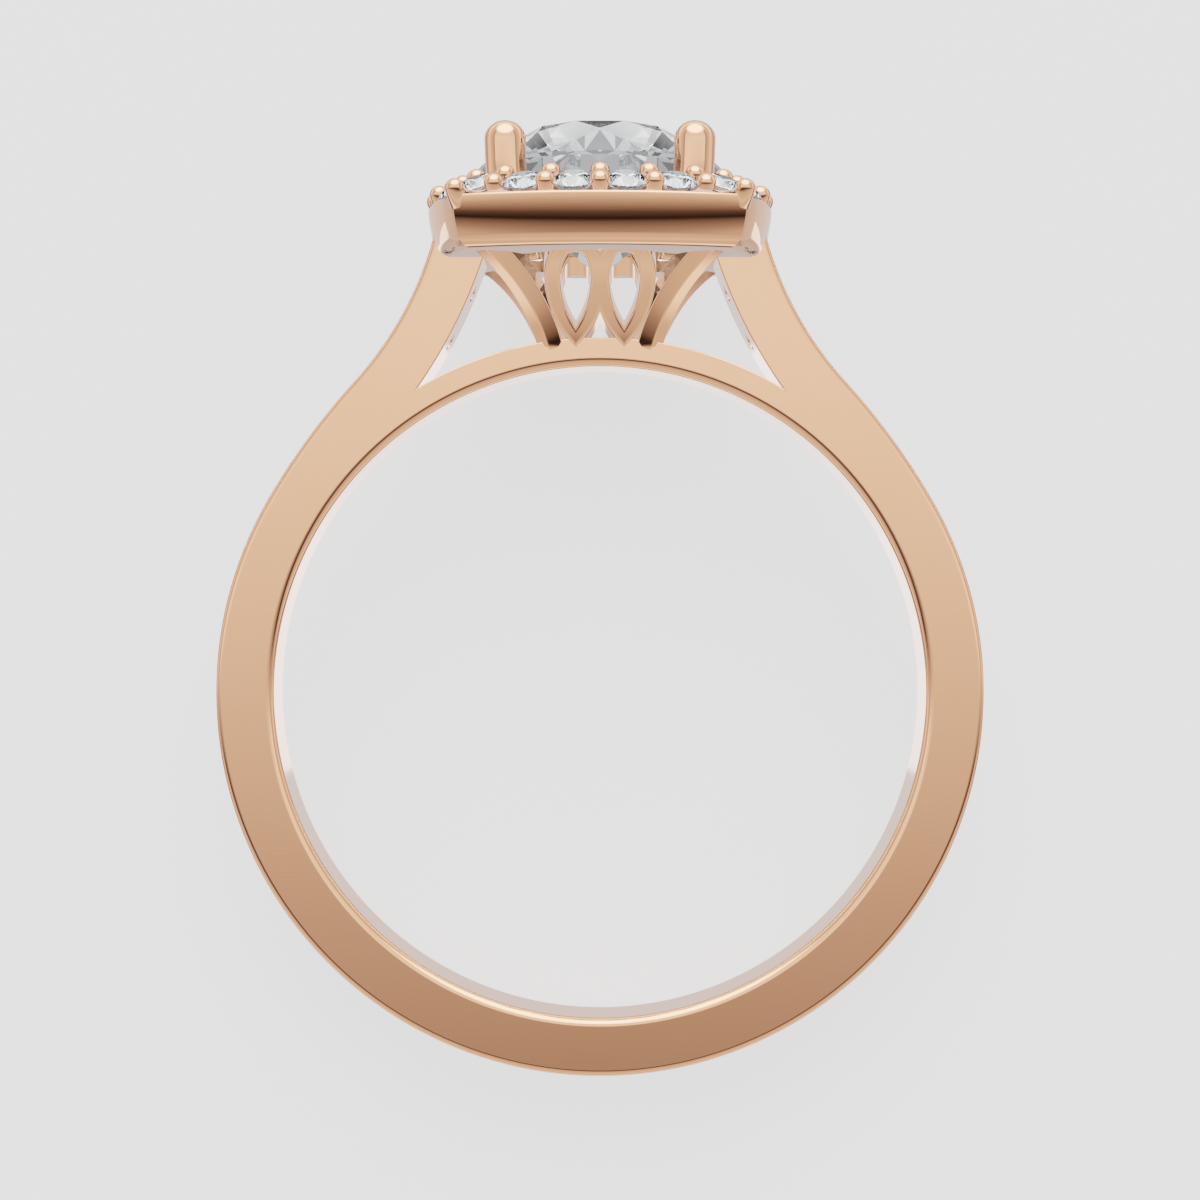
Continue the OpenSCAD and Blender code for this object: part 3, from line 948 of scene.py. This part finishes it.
def pinTree():
    tree = bpy.data.node_groups.new("domedPins", "GeometryNodeTree")
    for label, kind in (("Places", "Geometry"), ("Radius", "Float"), ("Dome", "Float"), ("Post", "Float"),
                        ("Segments", "Int"), ("Steps", "Int"), ("Finish", "Material")):
        tree.interface.new_socket(label, in_out="INPUT", socket_type="NodeSocket" + kind)
    tree.interface.new_socket("Pins", in_out="OUTPUT", socket_type="NodeSocketGeometry")
    given = addNode(tree, "NodeGroupInput").outputs
    # Head: the upper half of a ball, flattened or raised to the dome's height
    ball = addNode(tree, "GeometryNodeMeshUVSphere",
                   {"Radius": given["Radius"], "Segments": given["Segments"], "Rings": given["Segments"]})
    height = addNode(tree, "ShaderNodeSeparateXYZ", {"Vector": addNode(tree, "GeometryNodeInputPosition")})
    below = addNode(tree, "FunctionNodeCompare", {"A": height.outputs["Z"], "B": pinLimits["under"]},
                    operation="LESS_THAN")
    cap = addNode(tree, "GeometryNodeDeleteGeometry", {"Geometry": ball, "Selection": below}, domain="POINT")
    stretch = addNode(tree, "ShaderNodeMath", {0: given["Dome"], 1: given["Radius"]}, operation="DIVIDE")
    stretches = addNode(tree, "ShaderNodeCombineXYZ", {"X": 1.0, "Y": 1.0, "Z": stretch})
    head = addNode(tree, "GeometryNodeTransform", {"Geometry": cap, "Scale": stretches})
    # Post: an open-topped cylinder that hangs from the head
    tube = addNode(tree, "GeometryNodeMeshCylinder",
                   {"Vertices": given["Segments"], "Side Segments": given["Steps"], "Radius": given["Radius"],
                    "Depth": given["Post"]})
    openTube = addNode(tree, "GeometryNodeDeleteGeometry", {"Geometry": tube, "Selection": tube.outputs["Top"]},
                       domain="FACE")
    drop = addNode(tree, "ShaderNodeMath", {0: given["Post"], 1: -0.5}, operation="MULTIPLY")
    drops = addNode(tree, "ShaderNodeCombineXYZ", {"Z": drop})
    post = addNode(tree, "GeometryNodeTransform", {"Geometry": openTube, "Translation": drops})
    both = addNode(tree, "GeometryNodeJoinGeometry", {"Geometry": head})
    tree.links.new(post.outputs["Geometry"], both.inputs["Geometry"])
    pin = addNode(tree, "GeometryNodeMergeByDistance", {"Geometry": both, "Distance": pinLimits["weld"]})
    way = addNode(tree, "GeometryNodeInputNamedAttribute", {"Name": "way"}, data_type="FLOAT_VECTOR")
    turnTo = addNode(tree, "FunctionNodeAlignRotationToVector", {"Vector": way}, axis="Z")
    placed = addNode(tree, "GeometryNodeInstanceOnPoints",
                     {"Points": given["Places"], "Instance": pin, "Rotation": turnTo})
    real = addNode(tree, "GeometryNodeRealizeInstances", {"Geometry": placed})
    smooth = addNode(tree, "GeometryNodeSetShadeSmooth", {"Geometry": real})
    finish = addNode(tree, "GeometryNodeSetMaterial", {"Geometry": smooth, "Material": given["Finish"]})
    addNode(tree, "NodeGroupOutput", {"Pins": finish})
    return tree


domedPins = pinTree()


def pinsMesh(name, places, sizes, post):
    # places: 4x4 matrices in the worn frame, with the head's base at their origin; post: its length
    mesh = bpy.data.meshes.new(name)
    mesh.from_pydata([tuple(rowPoint(*p[:3, 3])) for p in places], [], [])
    ways = mesh.attributes.new("way", "FLOAT_VECTOR", "POINT")
    ways.data.foreach_set("vector", np.array([p[:3, 2] @ turned for p in places], np.float32).ravel())
    base = objectOf(mesh)
    modifier = base.modifiers.new("pins", "NODES")
    modifier.node_group = domedPins
    sockets = {s.name: s.identifier for s in domedPins.interface.items_tree if s.in_out == "INPUT"}
    for label, value in (("Radius", sizes["radius"] * mm), ("Dome", sizes["dome"] * mm), ("Post", post * mm),
                         ("Segments", sizes["segments"]), ("Steps", sizes["postSteps"]), ("Finish", metalFinish)):
        modifier[sockets[label]] = value
    made = evaluatedMesh(base)
    bpy.data.objects.remove(base)
    return made


claw = {
    "radius": 0.54,
    "reach": 3.42,  # from the stone's middle, along the diagonal
    "lean": 3,
    "bowStart": 13.9,  # below this height the post curves in towards its support
    "bow": 0.085,
    "top": 14.95,
    "foot": 11.82,
    "dome": 0.5,
    "segments": 48,
    "postSteps": 24,
}


def clawPlaces():
    base = claw["top"] - claw["dome"] - halo["edge"]
    return [turn("Z", angle) @ shift(claw["reach"], 0, halo["edge"]) @ turn("Y", claw["lean"]) @ shift(0, 0, base)
            for angle in (45, 135, 225, 315)]


def bowed(mesh):
    # Pulls the lower posts in along the diagonals
    spots = spotsOf(mesh)
    drop = np.clip(claw["bowStart"] - spots[:, 2], 0, None)
    spots[:, :2] -= np.sign(spots[:, :2]) * (claw["bow"] * drop**2 * math.sqrt(0.5))[:, None]
    moveSpots(mesh, spots)
    keepNormals(mesh)
    return mesh


clawPost = claw["top"] - claw["dome"] - claw["foot"]
finishPiece("claws", cutFrom(bowed(pinsMesh("claws", clawPlaces(), claw, clawPost)), [centreSpace("clawSpace")]))

bead = {
    "radius": 0.26,
    "height": 0.42,
    "dome": 0.23,
    "post": 0.4,
    "cornerPost": 0.5,
    "outerInset": 0.27,  # of the two rows, from the row's circle inwards
    "innerInset": 0.9,
    "cornerReach": 3.68,
    "steps": (-2, -1, 0, 1, 2),
    "segments": 24,
    "postSteps": 1,
}


def beadMesh(name, places, post):
    pins = pinsMesh(name, places, bead, post)
    keepNormals(pins)
    return cutFrom(pins, [haloStoneSpaces(name + "Spaces")])


beadLift = bead["height"] - bead["dome"]
rowPlaces = [onSide(quarter, inset, step, beadLift) for quarter in range(4)
             for inset in (bead["outerInset"], bead["innerInset"]) for step in bead["steps"]]
cornerPlaces = [onCorner(quarter, bead["cornerReach"], halo["edge"], beadLift) for quarter in range(4)]
finishPiece("beads", beadMesh("beads", rowPlaces, bead["post"]))
finishPiece("corner_beads", beadMesh("cornerBeads", cornerPlaces, bead["cornerPost"]))


# Stones: the CAD's own facets, with the diamond finish
for name, node in frame["nodes"].items():
    finish = metalFinish if name == "mounting" else diamondFinish
    for slot in node.material_slots:
        slot.material = finish
print("stones finished")


# Floor: a pale light table, so part of its light comes from below and the ring's shadow stays soft
stage = {
    "floorColour": "7C7C7C",
    "floorRoughness": 0.9,
    "floorGlow": 1.47,
    "floorReach": 1.2,  # metres
}
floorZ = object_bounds()[0].z
floorMesh = bpy.data.meshes.new("floor")
reach = stage["floorReach"]
floorMesh.from_pydata([(x * reach, y * reach, floorZ) for x, y in ((-1, -1), (1, -1), (1, 1), (-1, 1))], [],
                      [(0, 1, 2, 3)])
floorObject = objectOf(floorMesh)
floorObject.visible_glossy = floorObject.visible_transmission = False
floorFinish, floorTree = newMaterial("paleFloor")
shadeWith(floorTree, {"Base Color": linearColour(stage["floorColour"]), "Roughness": stage["floorRoughness"],
                      "Emission Color": linearColour("FFFFFF"), "Emission Strength": stage["floorGlow"]})
floorMesh.materials.append(floorFinish)

# Studio: pale walls, a wide panel on the camera's side that fades to black at its lower edge, a striped
# ceiling that gives the stones light and dark facets, and a round softbox over the head.
# Each stop is an angle in degrees, from the camera's side upwards or round, and the brightness there.
studio = {
    "backdrop": 1.886,
    "panelEdge": 1.6,  # half the panel's width, as a share of its distance
    "backEdge": 0.75,  # the same for the strip opposite the panel
    "lowSlope": 0.388,  # directions that fall more steeply follow the panel's stops all round
    "panelStops": [(-180, 2.9), (-176, 2.9), (-174.5, 0.75), (-160, 0.9), (-154, 0.1), (-140, 0.1), (-130, 2.4),
                   (-120, 2.4), (-112, 1.0), (-97, 1.05), (-81, 1.4), (-65, 1.1), (-46, 1.0), (-36, 0.82),
                   (-30, 0.45), (-22, 0.12), (-21, 0.02), (-20, 0.02), (-15, 0.1), (-11, 0.33), (-6, 0.72),
                   (2.5, 1.78), (6, 2.18), (17, 1.9), (98, 1.6), (150, 1.15)],
    "ceilingStops": [(90, 1.7), (97, 1.7), (98, 0.06), (106, 0.06), (107, 5.0), (112, 5.0), (113, 0.06), (118, 0.06),
                     (119, 4.5), (123, 4.5), (124, 0.06), (128, 0.06), (129, 3.6), (132, 3.6), (133, 0.08),
                     (137, 0.08), (138, 1.8), (141, 1.8), (142, 0.06), (148, 0.06), (149, 2.2), (154, 2.2), (155, 0.06),
                     (161, 0.06), (163, 1.4), (180, 1.3)],
    "ceilingEdge": 0.27,  # the ceiling's stripes start at this rise, away from the camera
    "wallStops": [(0, 0.4), (58, 0.4), (62, 0.7), (73, 0.95), (96, 1.7), (105, 1.65), (115, 0.95), (122, 0.55),
                  (130, 0.6), (136, 0.95), (145, 1.1), (158, 1.3), (180, 1.3)],
    "softboxAngle": 68,
    "softboxInner": 22,
    "softboxOuter": 42,
    "softboxGlow": 7,
}
world = bpy.data.worlds.new("studio")
bpy.context.scene.world = world
world.use_nodes = True
worldTree = world.node_tree
worldTree.nodes.clear()
towards = addNode(worldTree, "ShaderNodeTexCoord").outputs["Generated"]


def share(axis):
    # How far a direction points along an axis
    return addNode(worldTree, "ShaderNodeVectorMath", {0: towards, 1: axis}, operation="DOT_PRODUCT")


def combined(operation, first, second=0):
    return addNode(worldTree, "ShaderNodeMath", {0: first, 1: second}, operation=operation)


def blend(factor, first, second):
    return addNode(worldTree, "ShaderNodeMix", {"Factor": factor, "A": first, "B": second}, data_type="FLOAT")


def gradedBy(angle, stops):
    # A brightness that follows an angle in radians; the ramp is scaled, because its colours end at 1
    most = max(bright for _, bright in stops)
    low, high = stops[0][0], stops[-1][0]
    place = addNode(worldTree, "ShaderNodeMapRange",
                    {"From Min": math.radians(low), "From Max": math.radians(high), "Value": angle})
    ramp = addNode(worldTree, "ShaderNodeValToRGB", {"Fac": place})
    elements = ramp.color_ramp.elements
    while len(elements) < len(stops):
        elements.new(1.0)
    for element, (degrees, bright) in zip(elements, stops):
        element.position = (degrees - low) / (high - low)
        element.color = [bright / most] * 3 + [1]
    return combined("MULTIPLY", ramp, most)


across, forward, up = share(acrossAxis), share(fingerAxis), share(headAxis)
sideways = combined("ABSOLUTE", across)
panel = gradedBy(combined("ARCTAN2", up, forward), studio["panelStops"])
wall = gradedBy(combined("ARCTAN2", sideways, forward), studio["wallStops"])
panelSide = combined("LESS_THAN", sideways, combined("MAXIMUM", combined("MULTIPLY", forward, studio["panelEdge"]),
                                                     combined("MULTIPLY", forward, -studio["backEdge"])))
below = combined("LESS_THAN", up, combined("MULTIPLY", combined("ABSOLUTE", forward), -studio["lowSlope"]))
room = blend(combined("MAXIMUM", panelSide, below), wall, panel)
ceiling = gradedBy(combined("ARCTAN2", up, forward), studio["ceilingStops"])
onCeiling = combined("MULTIPLY", combined("GREATER_THAN", up, studio["ceilingEdge"]),
                     combined("LESS_THAN", forward))
boxForward, boxUp = direction(studio["softboxAngle"])
boxWay = fingerAxis * boxForward + headAxis * boxUp
nearBox = addNode(worldTree, "ShaderNodeMapRange",
                  {"From Min": direction(studio["softboxOuter"])[0], "From Max": direction(studio["softboxInner"])[0],
                   "Value": share(boxWay)}, interpolation_type="SMOOTHSTEP")
lit = blend(nearBox, blend(onCeiling, room, ceiling), studio["softboxGlow"])
# Seen directly, the room is a plain pale backdrop
direct = addNode(worldTree, "ShaderNodeLightPath").outputs["Is Camera Ray"]
seen = blend(direct, lit, studio["backdrop"])
glow = addNode(worldTree, "ShaderNodeBackground", {"Color": linearColour("FFFFFF"), "Strength": seen})
addNode(worldTree, "ShaderNodeOutputWorld", {"Surface": glow})
print("studio made")

# Filmic keeps the gold's colour in the dark tones and softens it in the bright ones
bpy.context.scene.view_settings.view_transform = "Filmic"
bpy.context.scene.view_settings.look = "None"
